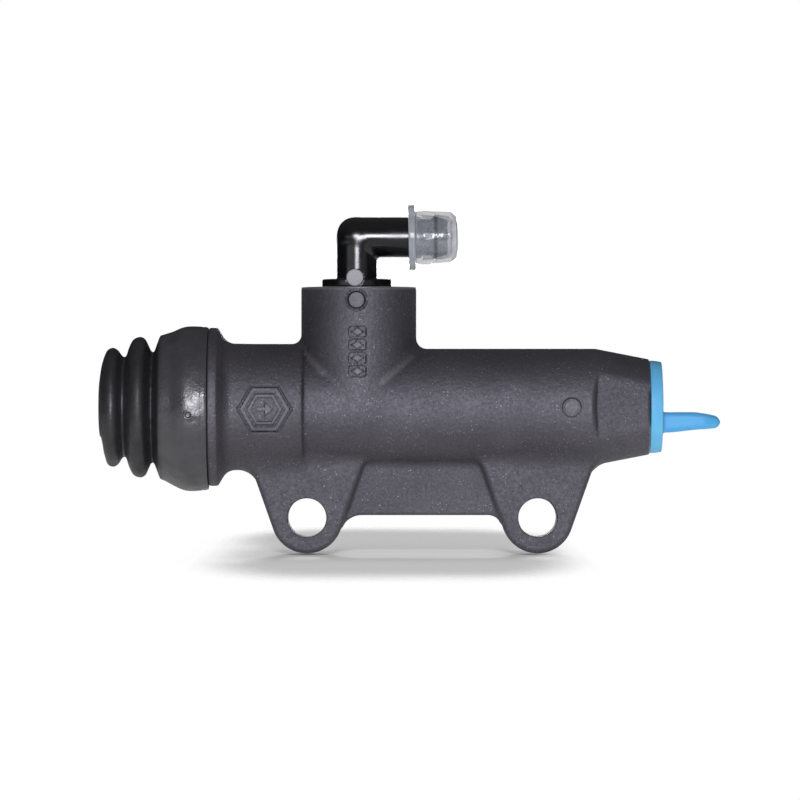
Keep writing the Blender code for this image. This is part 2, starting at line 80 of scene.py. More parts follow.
JOINTS = {joint["name"]: joint for joint in frame["joints"]}
MOUNTS = {mount["name"]: mount for mount in frame["record"]["mounts"]}
BODY_LOW, BODY_HIGH = node_box("cylinder_body")
BOOT_LOW, BOOT_HIGH = node_box("dust_boot")
ELBOW_LOW, ELBOW_HIGH = node_box("elbow_fitting")
CAP_LOW, CAP_HIGH = node_box("spigot_cap")
PLUG_LOW, PLUG_HIGH = node_box("outlet_plug")
PIN_LOW, PIN_HIGH = node_box("elbow_index_pin")

# Sizes that the frame gives
AXIS_Z = (BOOT_LOW[2] + BOOT_HIGH[2]) / 2
SPIGOT_Z = (CAP_LOW[2] + CAP_HIGH[2]) / 2
PORT_X = JOINTS["elbow_swivel"]["pos_m"][0] / MM
HOLE_X = MOUNTS["front_lug_face_near"]["pos_m"][0] / MM
LUG_HALF = abs(MOUNTS["front_lug_face_near"]["pos_m"][1]) / MM
LUG_R = -BODY_LOW[2]
FLANGE_R = BODY_HIGH[1]
BODY_LEFT, BODY_RIGHT, BOSS_TOP = BODY_LOW[0], BODY_HIGH[0], BODY_HIGH[2]
PIN_X, PIN_Z = (PIN_LOW[0] + PIN_HIGH[0]) / 2, (PIN_LOW[2] + PIN_HIGH[2]) / 2
PIN_R = (PIN_HIGH[0] - PIN_LOW[0]) / 2

# Sizes of the casting
BOLT_HOLE_R = 4.2
LUG_SLOPE = math.radians(19.5)
WEB_HALF = 3.5
WEB_BOTTOM = 0.5
NECK_R = 14.9
FLANGE_X = -46.4
REAR_BARREL_R = 13.7
STEP_X = -26.0
BARREL_R = 12.65
CONE_X = 37.6
OUTLET_R = 10.35
BOSS_X = -13.8
BOSS_R = 12.5
BORE_R = 6.5
BORE_END = 31.0
THREAD_R = 4.5
PORT_R = 6.5
PORT_FLOOR = 34.0
PORT_GROOVE = (46.5, 47.9)
FEED_X, FEED_R = -18.9, 1.25
MARKED_Y = -2.0  # the cast marks are only in front of this

# Sizes of the elbow
PIPE_R = 4.35
PASSAGE_R = 2.7
COLLAR_R = 7.55
SPIGOT_END = 5.5
STEM_R = 6.3

# Places on the boot, the cap and the plug
BOOT_MOUTH = -46.5
COLLAR_START = (-57.5, -56.0)
GATE_X, GATE_Z = -50.4, 22.3
CAP_LEDGE = 2.95
PLUG_FACE = 52.3

# Grid steps of the solids, and segments of the turned pieces
CASTING_CELL, ELBOW_CELL, PLUG_CELL = 0.47, 0.24, 0.26
BOOT_SEGMENTS, CAP_SEGMENTS, PIN_SEGMENTS = 200, 176, 64


# ------------------------ outlines


def rounded(corners, steps=5):
    """An outline through corners (a, b, radius), each rounded by its own radius."""
    outline = []
    for i, (a, b, radius) in enumerate(corners):
        if radius == 0:
            outline.append((a, b))
            continue
        here = Vector((a, b))
        before = (Vector(corners[i - 1][:2]) - here).normalized()
        after = (Vector(corners[(i + 1) % len(corners)][:2]) - here).normalized()
        half = before.angle(after) / 2
        centre = here + (before + after).normalized() * radius / math.sin(half)
        start = here + before * radius / math.tan(half) - centre
        end = here + after * radius / math.tan(half) - centre
        first = math.atan2(start.y, start.x)
        sweep = (math.atan2(end.y, end.x) - first + math.pi) % (2 * math.pi) - math.pi
        for k in range(steps + 1):
            angle = first + sweep * k / steps
            outline.append((centre.x + radius * math.cos(angle), centre.y + radius * math.sin(angle)))
    return outline


def flowing(points, per_span=6):
    """A smooth open curve through the points (Catmull-Rom)."""
    pts = np.array(points, float)
    pts = np.vstack([2 * pts[0] - pts[1], pts, 2 * pts[-1] - pts[-2]])
    curve = []
    for before, start, end, after in zip(pts, pts[1:], pts[2:], pts[3:]):
        for t in np.arange(per_span) / per_span:
            curve.append(
                start
                + 0.5 * t * (end - before)
                + t**2 * (before - 2.5 * start + 2 * end - 0.5 * after)
                + t**3 * (1.5 * start - 0.5 * before - 1.5 * end + 0.5 * after)
            )
    return [tuple(p) for p in curve] + [tuple(pts[-2])]


# ------------------------ solids as distances


def polygon_distance(a, b, outline):
    """Signed distance to a closed outline, negative inside."""
    nearest = np.full(a.shape, np.inf, np.float32)
    inside = np.zeros(a.shape, bool)
    for (a0, b0), (a1, b1) in zip(outline, outline[1:] + outline[:1]):
        da, db = a1 - a0, b1 - b0
        if da == 0 and db == 0:
            continue
        along = np.clip(((a - a0) * da + (b - b0) * db) / (da * da + db * db), 0, 1)
        nearest = np.minimum(nearest, (a - a0 - along * da) ** 2 + (b - b0 - along * db) ** 2)
        if db:
            inside ^= ((b0 > b) != (b1 > b)) & (a < a0 + (b - b0) * da / db)
    return np.where(inside, -1, 1) * np.sqrt(nearest)


class Turned:
    """The distance to a turned solid, kept on a fine grid of its section (along, radius)."""

    STEP = 0.06
    MARGIN = 4.0

    def __init__(self, outline):
        deep = [(a, r if r > 0 else -50.0) for a, r in outline]  # no wall along the axis
        low_a, high_a = min(a for a, _ in outline), max(a for a, _ in outline)
        self.low = (low_a - self.MARGIN, -0.5)
        high = (high_a + self.MARGIN, max(r for _, r in outline) + self.MARGIN)
        axes = [np.arange(lo, hi, self.STEP, np.float32) for lo, hi in zip(self.low, high)]
        self.grid = polygon_distance(*np.meshgrid(*axes, indexing="ij"), deep).astype(np.float32)

    def __call__(self, along, radius):
        i = np.clip((along - self.low[0]) / self.STEP, 0, self.grid.shape[0] - 1.001)
        j = np.clip((radius - self.low[1]) / self.STEP, 0, self.grid.shape[1] - 1.001)
        i, j = np.broadcast_arrays(i, j)
        i0, j0 = i.astype(np.int32), j.astype(np.int32)
        fi, fj = i - i0, j - j0
        grid = self.grid
        near = grid[i0, j0] * (1 - fj) + grid[i0, j0 + 1] * fj
        far = grid[i0 + 1, j0] * (1 - fj) + grid[i0 + 1, j0 + 1] * fj
        return near * (1 - fi) + far * fi


def join(a, b, radius):
    """Union of two solids, with a fillet."""
    u, v = np.maximum(radius - a, 0), np.maximum(radius - b, 0)
    return np.maximum(radius, np.minimum(a, b)) - np.sqrt(u * u + v * v)


def rolling_join(a, b, cosine, radius):
    """Union with the fillet that a ball rolls. cosine is that of the angle between the two surfaces."""
    cosine = np.clip(cosine, -0.99, 0.99)
    u, v = radius - a, radius - b
    reach = np.sqrt(np.maximum(u * u + v * v - 2 * u * v * cosine, 0) / (1 - cosine * cosine))
    inside = (u > cosine * v) & (v > cosine * u)
    return np.where(inside, np.minimum(radius - reach, np.minimum(a, b)), np.minimum(a, b))


def meet(a, b, radius):
    """What two solids share, with a rounded edge."""
    return -join(-a, -b, radius)


def smooth_step(x):
    """Goes smoothly from 0 to 1 as x does."""
    x = np.clip(x, 0, 1)
    return x * x * (3 - 2 * x)


# ------------------------ distance to mesh


def crossings(distance, axes, values):
    """Where the surface crosses the grid's edges: places, normals, cells round each, and facing."""
    shape = np.array(values.shape)
    found = []
    for axis in range(3):
        near = [slice(None)] * 3
        far = [slice(None)] * 3
        near[axis], far[axis] = slice(None, -1), slice(1, None)
        sign = values < 0
        index = np.argwhere(sign[tuple(near)] != sign[tuple(far)])
        others = [k for k in range(3) if k != axis]
        inner = np.all([(index[:, k] > 0) & (index[:, k] < shape[k] - 1) for k in others], 0)
        index = index[inner]
        step = np.zeros(3, int)
        step[axis] = 1
        v0, v1 = values[tuple(index.T)], values[tuple((index + step).T)]
        low = np.stack([axes[k][index[:, k]] for k in range(3)], 1)
        high = np.stack([axes[k][(index + step)[:, k]] for k in range(3)], 1)
        place = low + (high - low) * (v0 / (v0 - v1))[:, None]
        cells = []
        for da, db in ((-1, -1), (0, -1), (0, 0), (-1, 0)):
            cell = index.copy()
            cell[:, others[0]] += da
            cell[:, others[1]] += db
            cells.append(np.ravel_multi_index(cell.T, shape))
        outward = (v0 < 0) ^ (axis == 1)
        found.append((place, np.stack(cells, 1), outward))
    place = np.concatenate([f[0] for f in found])
    cells = np.concatenate([f[1] for f in found])
    return place, gradient(distance, place), cells, np.concatenate([f[2] for f in found])


def gradient(distance, place, reach=0.03):
    """The solid's outward direction at each place."""
    parts = []
    for k in range(3):
        step = np.zeros(3)
        step[k] = reach
        parts.append(distance(*(place + step).T) - distance(*(place - step).T))
    normal = np.stack(parts, 1)
    return normal / np.maximum(np.linalg.norm(normal, axis=1, keepdims=True), 1e-9)


def surface(distance, low, high, cell):
    """Points and four-sided faces of the solid's surface, with its edges kept (dual contouring)."""
    axes = [np.arange(lo - 2.3 * cell, hi + 3 * cell, cell) for lo, hi in zip(low, high)]
    y, z = np.meshgrid(axes[1], axes[2], indexing="ij")
    values = np.stack([distance(x, y, z).astype(np.float32) for x in axes[0]])
    place, normal, cells, outward = crossings(distance, axes, values)
    used, corner = np.unique(cells, return_inverse=True)
    corner = corner.reshape(cells.shape)
    count = len(used)
    flat = corner.ravel()
    places, normals = np.repeat(place, 4, 0), np.repeat(normal, 4, 0)

    def total(column):
        return np.bincount(flat, column, count)

    amount = total(np.ones(len(flat)))
    middle = np.stack([total(places[:, k]) for k in range(3)], 1) / amount[:, None]
    offset = np.einsum("ij,ij->i", normals, places - middle[flat])
    left = np.empty((count, 3, 3))
    right = np.empty((count, 3))
    for i in range(3):
        right[:, i] = total(normals[:, i] * offset)
        for j in range(3):
            left[:, i, j] = total(normals[:, i] * normals[:, j]) + (0.08 * amount if i == j else 0)
    points = middle + np.linalg.solve(left, right[:, :, None])[:, :, 0]
    index = np.stack(np.unravel_index(used, values.shape), 1)
    floor = np.stack([axes[k][index[:, k]] for k in range(3)], 1)
    points = np.clip(points, floor - 0.1 * cell, floor + 1.1 * cell)
    faces = np.where(outward[:, None], corner, corner[:, ::-1])
    return points, faces


def settle(distance, points, rounds=3):
    """Moves points along the slope onto the surface."""
    for _ in range(rounds):
        away = distance(*points.T)
        points = points - gradient(distance, points) * np.clip(away, -0.3, 0.3)[:, None]
    return points


def piece(name, points, faces):
    """A mesh object from points in millimetres."""
    mesh = bpy.data.meshes.new(name)
    mesh.from_pydata((np.asarray(points) * MM).tolist(), [], np.asarray(faces).tolist())
    mesh.validate()
    obj = bpy.data.objects.new(name, mesh)
    bpy.context.scene.collection.objects.link(obj)
    return obj


def refine(mesh, wanted, cuts):
    """Divides the faces whose middle is wanted (x, y, z in millimetres)."""
    bm = bmesh.new()
    bm.from_mesh(mesh)
    edges = {e for f in bm.faces if wanted(*(f.calc_center_median() / MM)) for e in f.edges}
    bmesh.ops.subdivide_edges(bm, edges=list(edges), cuts=cuts, use_grid_fill=True)
    bm.to_mesh(mesh)
    bm.free()


def read_points(mesh):
    flat = np.empty(len(mesh.vertices) * 3)
    mesh.vertices.foreach_get("co", flat)
    return flat.reshape(-1, 3) / MM


def write_attribute(mesh, name, values):
    mesh.attributes.new(name, "FLOAT", "POINT").data.foreach_set("value", values.astype(np.float32))


def shade_exactly(mesh, distance):
    """Puts the points on the solid, with its own normals, and returns the normals."""
    points = settle(distance, read_points(mesh))
    mesh.vertices.foreach_set("co", (points * MM).ravel())
    mesh.update()
    mesh.shade_smooth()
    normal = gradient(distance, points)
    mesh.normals_split_custom_set_from_vertices(normal.tolist())
    return normal


# ------------------------ the casting


def barrel_section():
    """Neck, flange, barrel and outlet cone, as (along, radius)."""
    groove = (BODY_LEFT + 2.4, BODY_LEFT + 4.6)
    return rounded([
        (BODY_LEFT, 0, 0),
        (BODY_LEFT, NECK_R, 0.5),
        (groove[0], NECK_R, 0.2),
        (groove[0], NECK_R - 1.0, 0.2),
        (groove[1], NECK_R - 1.0, 0.2),
        (groove[1], NECK_R, 0.2),
        (FLANGE_X, NECK_R, 0.2),
        (FLANGE_X, FLANGE_R, 0.45),
        (FLANGE_X + 2.0, FLANGE_R, 0.65),
        (FLANGE_X + 4.0, REAR_BARREL_R + 0.1, 3.0),
        (FLANGE_X + 10.0, REAR_BARREL_R, 6.0),
        (STEP_X, REAR_BARREL_R, 0.7),
        (STEP_X + 0.35, BARREL_R, 0.25),
        (CONE_X, BARREL_R, 1.5),
        (BODY_RIGHT, OUTLET_R, 0.3),
        (BODY_RIGHT, 0, 0),
    ])


def bore_section():
    """Mouth with its circlip groove, bore, passage and outlet port."""
    groove = (-50.6, -49.0)
    seat = -47.4
    drill_tip = BORE_END + 5.0
    return [
        (BODY_LEFT - 3.0, 0),
        (BODY_LEFT - 3.0, 9.8),
        (BODY_LEFT, 9.8),
        (BODY_LEFT + 0.8, 9.0),
        (groove[0], 9.0),
        (groove[0], 9.75),
        (groove[1], 9.75),
        (groove[1], 9.0),
        (seat, 9.0),
        (seat, BORE_R + 0.4),
        (seat + 0.6, BORE_R),
        (BORE_END - 1.2, BORE_R),
        (BORE_END, 1.5),
        (drill_tip, 1.5),
        (drill_tip + 1.6, THREAD_R),
        (BODY_RIGHT - 0.7, THREAD_R),
        (BODY_RIGHT, THREAD_R + 0.7),
        (BODY_RIGHT + 3.0, THREAD_R + 0.7),
        (BODY_RIGHT + 3.0, 0),
    ]


def port_section():
    """The reservoir port in the boss."""
    return [
        (PORT_FLOOR - 0.8, 0),
        (PORT_FLOOR, PORT_R),
        (PORT_GROOVE[0], PORT_R),
        (PORT_GROOVE[0], 7.15),
        (PORT_GROOVE[1], 7.15),
        (PORT_GROOVE[1], PORT_R),
        (BOSS_TOP - 0.4, PORT_R),
        (BOSS_TOP, PORT_R + 0.4),
        (BOSS_TOP + 3.0, PORT_R + 0.4),
        (BOSS_TOP + 3.0, 0),
    ]


BARREL = Turned(barrel_section())
BORE = Turned(bore_section())
PORT = Turned(port_section())


def lug(x, z, hole_x):
    """A lug's outline: round below its hole, with straight sides that widen upwards."""
    u = np.abs(x - hole_x)
    sine, cosine = math.sin(LUG_SLOPE), math.cos(LUG_SLOPE)
    return np.where(u * sine + z * cosine < 0, np.hypot(u, z) - LUG_R, u * cosine - z * sine - LUG_R)


def lugs_and_web(x, y, z):
    inside = z - (AXIS_Z - 8.0)  # they end within the barrel
    outline = np.minimum(lug(x, z, -HOLE_X), lug(x, z, HOLE_X))
    lugs = meet(np.maximum(outline, inside), np.abs(y) - LUG_HALF, 1.1)
    between = np.maximum(WEB_BOTTOM - z, np.abs(x) - HOLE_X)
    corner = np.where(x < 0, 3.2, 2.2)  # the web's lower corners, rounded into the lugs
    sheet = np.maximum(join(outline, between, corner), between - 0.75 * corner)
    web = meet(np.maximum(sheet, inside), np.abs(y) - WEB_HALF, 0.7)
    return join(lugs, web, 0.8)


def outlet_flats(x, y, z):
    """The shallow flats on the outlet cone, with a steep curved wall where each begins."""
    start = CONE_X - 0.6 + 0.012 * (z - AXIS_Z) ** 2
    plane = 10.7 - 0.09 * (x - CONE_X)
    wall = (start + (BARREL_R - np.abs(y)) * 0.28 - x) * 0.963  # 0.963 makes it a true distance
    return meet(wall, plane - np.abs(y), 0.15)


def uncut_casting(x, y, z):
    """Barrel, boss, lugs and web with their fillets, the outlet's flats and the bolt holes."""
    from_axis = np.hypot(y, z - AXIS_Z)
    from_boss = np.hypot(x - BOSS_X, y)
    boss = meet(from_boss - BOSS_R, z - BOSS_TOP, 0.15)
    boss = np.maximum(boss, AXIS_Z - z)
    between = y * y / np.maximum(from_axis * from_boss, 1.0)
    fillet = np.where(x < BOSS_X, 2.0, 2.3) + 0.6 * np.clip((y / BOSS_R) ** 2, 0, 1)
    solid = rolling_join(BARREL(x, from_axis), boss, between, fillet)
    fillet = 1.4 + smooth_step((np.abs(x) - 17) / 5) + 0.6 * smooth_step((-HOLE_X - x) / 6)
    solid = join(solid, lugs_and_web(x, y, z), fillet)
    solid = meet(solid, -outlet_flats(x, y, z), 0.8)
    for hole_x in (-HOLE_X, HOLE_X):
        solid = meet(solid, BOLT_HOLE_R - np.hypot(x - hole_x, z), 0.25)
    return solid


def hollows(x, y, z):
    """The bore, the reservoir's port and the feed hole between them."""
    feed = np.maximum(np.hypot(x - FEED_X, y) - FEED_R, AXIS_Z - z)
    bore, port = BORE(x, np.hypot(y, z - AXIS_Z)), PORT(z, np.hypot(x - PORT_X, y))
    return np.minimum(np.minimum(bore, port), feed)


def casting(x, y, z):
    return np.maximum(uncut_casting(x, y, z), -hollows(x, y, z))


# ------------------------ marks cast on its front


def stroke(distance, width, height, soft=0.3):
    """A raised line along distance = 0. soft is how wide its sides are."""
    return height * smooth_step(0.5 + (width / 2 - np.abs(distance)) / soft)


def hexagon(u, v, size):
    """Distance to a hexagon with its corners to the left and right."""
    u, v = np.abs(u), np.abs(v)
    return np.maximum(v, u * math.cos(math.pi / 6) + v * 0.5) - size


def arrow(u, v, length, head):
    """Distance to an arrow that points along +u."""
    v = np.abs(v)
    middle = -head / 4
    shaft = np.maximum(np.abs(u - middle) - length / 2 - middle, v - 0.42)
    slope = math.radians(40)
    tip = (u - length / 2) * math.sin(slope) + v * math.cos(slope)
    return np.minimum(shaft, np.maximum(tip, length / 2 - head - u))


# Places (x, z) on the casting's front, and in MARKS how far round each the mesh is made finer
EMBLEM = (-34.0, 23.5)
BOSS_DISC = (PORT_X, 47.1)
BARREL_DISC = (32.2, 23.9)
PLAQUES = [(PORT_X + 0.2, 40.2 - 2.83 * k) for k in range(4)]
SEAMS = [((-25.2, 35.4), (-21.8, 31.6)), ((-2.2, 34.9), (-8.4, 29.7))]
MARKS = [(*EMBLEM, 5.9), (*BOSS_DISC, 2.85), (*BARREL_DISC, 2.9)]
MARKS += [(*plaque, 2.6) for plaque in PLAQUES]


def disc_mark(x, z, centre, radius, groove, rim):
    """An ejector pin's mark: a low disc with a groove round it."""
    away = np.hypot(x - centre[0], z - centre[1])
    plateau = 0.12 * smooth_step(0.5 + (radius - away) / 0.35)
    return plateau + stroke(away - radius + 0.35, 0.35, rim) - stroke(away - radius - 0.1, 0.6, groove)


def plaque_mark(x, z, centre):
    """A sunk panel with round corners, and a raised diamond in it."""
    u, v = np.abs(x - centre[0]), np.abs(z - centre[1])
    panel = np.hypot(np.maximum(u - 1.25, 0), np.maximum(v - 0.5, 0)) - 0.65
    diamond = (u * 0.72 + v - 0.95) * 0.81
    return 0.62 * smooth_step(0.5 - diamond / 0.35) - 0.5 * smooth_step(0.5 - panel / 0.35)


def seam_mark(x, z, start, end):
    """A soft low ridge between two points, where the mould's parts met."""
    away = segment_distance(x, 0.0, z, (start[0], 0, start[1]), (end[0], 0, end[1]))
    return stroke(away, 1.0, 0.16, 1.1)


def relief(x, z):
    """How far the marks stand out of the casting's front."""
    u, v = x - EMBLEM[0], z - EMBLEM[1]
    height = stroke(hexagon(u, v, 4.25), 0.85, 0.45) - stroke(hexagon(u, v, 4.95), 0.5, 0.2, 0.4)
    height += stroke(hexagon(u, v, 2.95), 0.7, 0.4)
    height += 0.4 * smooth_step(0.5 - arrow(u, v, 3.6, 1.8) / 0.3)
    height += disc_mark(x, z, BOSS_DISC, 1.95, 0.48, 0.05)
    height += disc_mark(x, z, BARREL_DISC, 2.1, 0.06, 0.18)
    for plaque in PLAQUES:
        height += plaque_mark(x, z, plaque)
    for start, end in SEAMS:
        height += seam_mark(x, z, start, end)
    return height


def marked_casting(x, y, z):
    solid = uncut_casting(x, y, z) - np.where(y < MARKED_Y, relief(x, z), 0.0)
    return np.maximum(solid, -hollows(x, y, z))


def near_a_mark(x, y, z):
    return y < -8.0 and any(max(abs(x - cx), abs(z - cz)) < half for cx, cz, half in MARKS)


def machined(x, y, z):
    """1 where it is cut after coating: bore, port, the boss's top and the outlet's face."""
    holes = np.minimum(BORE(x, np.hypot(y, z - AXIS_Z)), PORT(z, np.hypot(x - PORT_X, y)))
    faces = np.minimum(BOSS_TOP - 0.12 - z, BODY_RIGHT - x)
    return smooth_step((0.1 - np.minimum(holes, faces)) / 0.08)


def on_a_flat(x, y, z):
    """1 on the lugs, the web and the outlet's flats."""
    away = np.minimum(np.abs(lugs_and_web(x, y, z)), np.abs(outlet_flats(x, y, z)))
    return smooth_step(1 - away / 0.3)


def painted_corner_shade(points, normal, reach=0.7):
    """Up to 1 in corners, where the casting comes near again in front of the surface: the mask for shade painted
    into the corners.
    """
    return np.clip(1 - marked_casting(*(points + normal * reach).T) / reach, 0, 1)


def even_rim(points):
    """Brings the points beside the boss's top edge onto the edge, so that its highlight is even."""
    x, y, z = points.T
    out = np.stack([x - BOSS_X, y], 1) / np.hypot(x - BOSS_X, y)[:, None]
    beside = (np.abs(np.hypot(x - BOSS_X, y) - BOSS_R) < 0.24) & (np.abs(z - BOSS_TOP) < 0.24)
    rim = np.column_stack([BOSS_X + BOSS_R * out[:, 0], BOSS_R * out[:, 1], np.full(len(z), BOSS_TOP)])
    return np.where(beside[:, None], rim, points)


def cylinder_body():
    points, faces = surface(casting, BODY_LOW, BODY_HIGH, CASTING_CELL)
    obj = piece("cast_body", even_rim(points), faces)
    refine(obj.data, near_a_mark, 3)
    normal = shade_exactly(obj.data, marked_casting)
    points = read_points(obj.data)
    x, y, z = points.T
    # painted shade: the mask of corners and creases that the casting's colour darkens
    write_attribute(obj.data, "painted_corner_shade", painted_corner_shade(points, normal))
    write_attribute(obj.data, "machined", machined(x, y, z))
    write_attribute(obj.data, "flat", on_a_flat(x, y, z))
    write_attribute(obj.data, "raised", np.where(y < MARKED_Y, smooth_step(relief(x, z) / 0.15), 0.0))
    return obj


# ------------------------ turned pieces


def turn(name, outline, segments, place, warp=None):
    """A closed section of (along, radius) turned into a mesh. place maps along, side, up to x, y, z."""
    points, rings = [], []
    for along, radius in outline:
        if radius == 0:
            rings.append([len(points)])
            points.append(place(along, 0.0, 0.0))
            continue
        rings.append(list(range(len(points), len(points) + segments)))
        for k in range(segments):
            angle = 2 * math.pi * k / segments
            points.append(place(along, radius * math.sin(angle), radius * math.cos(angle)))
    faces = []
    for low, high in zip(rings, rings[1:] + rings[:1]):
        if len(low) == 1 and len(high) == 1:
            continue
        for k in range(segments):
            j = (k + 1) % segments
            face = [low[k % len(low)], low[j % len(low)], high[j % len(high)], high[k % len(high)]]
            faces.append(list(dict.fromkeys(face)))
    points = np.array(points, float)
    if warp:
        points = warp(points)
    obj = piece(name, points, [])
    finish_mesh(obj, points, faces)
    return obj


def finish_mesh(obj, points, faces):
    """Replaces a mesh with these faces, all facing out, smooth but for the sharp edges."""
    bm = bmesh.new()
    verts = [bm.verts.new([c * MM for c in p]) for p in points]
    for face in faces:
        bm.faces.new([verts[i] for i in face])
    bmesh.ops.recalc_face_normals(bm, faces=bm.faces)
    bm.to_mesh(obj.data)
    bm.free()
    obj.data.shade_smooth()
    obj.data.set_sharp_from_angle(angle=math.radians(38))


def on_bore(along, side, up):
    return along, side, AXIS_Z + up


def on_pin(along, side, up):
    return PIN_X + side, PIN_HIGH[1] - along, PIN_Z + up


def on_spigot(along, side, up):
    """The cap sits a degree or so askew on its spigot."""
    tilt = math.radians(1.2)
    middle = (CAP_LOW[0] + CAP_HIGH[0]) / 2
    a = along - middle
    x = middle + a * math.cos(tilt) - up * math.sin(tilt)
    return x, side, SPIGOT_Z + a * math.sin(tilt) + up * math.cos(tilt)


# ------------------------ dust boot


def boot_section():
    """Out along the folds, the collar and its lip, then back inside to the rim round the opening."""
    folds = flowing([
        (-70.15, 6.0), (-69.8, 8.4), (-69.35, 10.8), (-68.5, 12.35), (-67.3, 12.95),
        (-66.2, 12.45), (-65.4, 11.35), (-64.85, 10.9), (-64.3, 11.3), (-63.7, 13.1),
        (-62.8, 14.75), (-61.4, 15.35), (-60.3, 14.9), (-59.6, 13.6), (-58.95, 12.2),
        (-58.35, 12.1), (-57.75, 13.6), (-57.2, 15.1),
    ])
    collar = flowing([
        (-56.9, 15.65), (-55.9, 15.95), (-54.2, 16.45), (-52.6, 17.15), (-51.2, 17.55),
        (-49.5, 17.62),
    ], 4)
    lip = [(-48.1, 17.55), (-47.7, 17.47), (-47.5, 17.43), (-47.3, 17.48), (-47.0, 17.46)]
    mouth = [(BOOT_MOUTH, 17.3), (BOOT_MOUTH, 15.2)]
    bead = [(-50.7, 15.2), (-50.7, 14.2), (-52.3, 14.2), (-52.3, 15.2), (-55.4, 15.2)]
    inner_folds = flowing([
        (-55.4, 12.6), (-57.2, 11.2), (-58.9, 10.6), (-60.2, 12.2), (-61.4, 13.7),
        (-62.7, 12.8), (-64.0, 10.2), (-64.9, 9.5), (-66.2, 10.5), (-67.3, 11.3),
        (-68.4, 10.6), (-68.95, 9.0), (-68.95, 5.2),
    ], 3)
    rim = [(-69.1, 4.7), (-69.5, 4.5), (-70.0, 4.5), (-70.2, 4.75), (-70.2, 5.5)]
    return folds + collar + lip + mouth + bead + inner_folds + rim


def boot_warp(points):
    """Rubber that isn't quite round: slow waves, a sagging collar, puckers in the last valley and a
    thicker rim on its end, down to a step below the bore."""
    along, side, up = points[:, 0], points[:, 1], points[:, 2] - AXIS_Z
    radius, angle = np.hypot(side, up), np.arctan2(side, up)
    outer = smooth_step((radius - 10.5) / 2)
    slow = np.sin(2 * angle + 0.7 + 0.35 * along) * 0.5 + np.sin(5 * angle + 2.1 - 0.8 * along) * 0.3
    grow = (0.06 * slow - 0.03) * outer
    valley = np.exp(-(((along + 58.7) / 0.7) ** 2)) * smooth_step((radius - 11) / 1)
    pucker = np.sin(17 * angle) * np.sin(7 * angle + 1.0) * 0.16 + np.sin(41 * angle + 0.5) * 0.05
    scale = (radius + grow + valley * pucker) / np.maximum(radius, 1e-6)
    collar = smooth_step((along + 58.0) / 4) * smooth_step((radius - 15.4) / 1.2)
    end = smooth_step((-68.2 - along) / 1.2)
    low = np.maximum(smooth_step((-6.3 - up) / 0.4), 0.5 * smooth_step((up - 8.0) / 3))
    low = low * smooth_step((8.5 - np.abs(side)) / 3)
    along = along + 0.36 * end * low
    up = up * scale * (1 + 0.018 * collar) - 0.3 * collar - 0.08 * outer
    return np.stack([along, side * scale, AXIS_Z + up], 1)


def gate_mark(x, z):
    """The round mark on the collar where its mould was filled."""
    away = np.hypot(x - GATE_X, z - GATE_Z)
    return stroke(away - 0.85, 0.3, 0.09) - 0.12 * smooth_step(0.5 + (0.5 - away) / 0.3)


def dust_boot():
    obj = turn("boot", boot_section(), BOOT_SEGMENTS, on_bore, warp=boot_warp)
    refine(obj.data, lambda x, y, z: y < 0 and math.hypot(x - GATE_X, z - GATE_Z) < 1.6, 5)
    points = read_points(obj.data)
    front = (points[:, 1] < -15) & (points[:, 0] > -53)
    points[:, 1] -= np.where(front, gate_mark(points[:, 0], points[:, 2]), 0)
    obj.data.vertices.foreach_set("co", (points * MM).ravel())
    obj.data.shade_smooth()
    obj.data.set_sharp_from_angle(angle=math.radians(50))
    return obj


# ------------------------ elbow


def segment_distance(x, y, z, start, end):
    """Distance to a straight line between two points."""
    start, end = np.array(start, float), np.array(end, float)
    run = end - start
    px, py, pz = x - start[0], y - start[1], z - start[2]
    t = np.clip((px * run[0] + py * run[1] + pz * run[2]) / (run @ run), 0, 1)
    return np.sqrt((px - t * run[0]) ** 2 + (py - t * run[1]) ** 2 + (pz - t * run[2]) ** 2)


STEM = Turned(rounded([
    (36.0, 0, 0),
    (36.0, STEM_R, 0.45),
    (39.6, STEM_R, 0.1),
    (39.6, 4.8, 0.2),
    (41.8, 4.8, 0.2),
    (41.8, STEM_R, 0.1),
    (PORT_GROOVE[0], STEM_R, 0.1),
    (PORT_GROOVE[0], 5.5, 0.1),
    (PORT_GROOVE[1], 5.5, 0.1),
    (PORT_GROOVE[1], STEM_R, 0.1),
    (BOSS_TOP + 0.06, STEM_R, 0.02),
    (BOSS_TOP + 0.06, COLLAR_R, 0.2),
    (BOSS_TOP + 1.75, COLLAR_R, 0.3),
    (BOSS_TOP + 1.75, 0, 0),
]))
SPIGOT = Turned(rounded([
    (-6.0, 0, 0), (-6.0, PIPE_R, 0), (-2.3, PIPE_R, 0.3), (-1.9, 3.9, 0.3),
    (1.9, 3.9, 0.2), (2.3, 4.6, 0.15), (2.9, 4.6, 0.2), (SPIGOT_END, 3.75, 0.25),
    (SPIGOT_END, 0, 0),
]))


